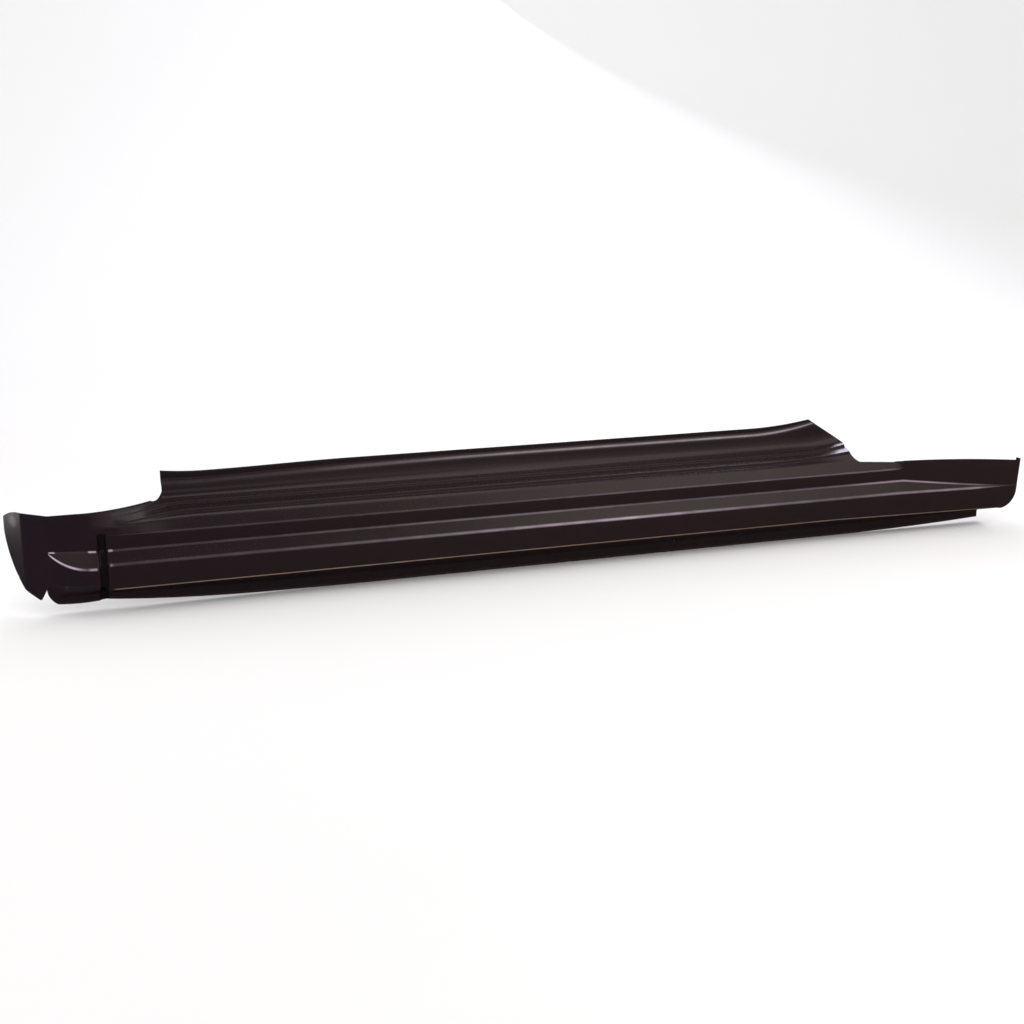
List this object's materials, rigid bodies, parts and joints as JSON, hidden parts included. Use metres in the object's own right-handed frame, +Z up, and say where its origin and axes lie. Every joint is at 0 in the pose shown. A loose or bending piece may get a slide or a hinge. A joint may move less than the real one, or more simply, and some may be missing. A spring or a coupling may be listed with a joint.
{
  "type": "rocker panel",
  "caption": "Pressed steel outer sill with a stepped door ledge, sloping side band, front nose with a groove, and a flared rear end at the wheel arch.",
  "frame": {"origin": "on the inboard face of the pinch weld flange, 7.5 mm above its lower edge, about mid-length of the panel", "axes": "+X along the car towards its rear, +Y inboard, +Z up"},
  "size_m": [1.7049, 0.109, 0.191],
  "materials": {
    "primed_steel": "gloss"
  },
  "bodies": {
    "root": {"rocker_panel": "primed_steel"}
  },
  "joints": []
}
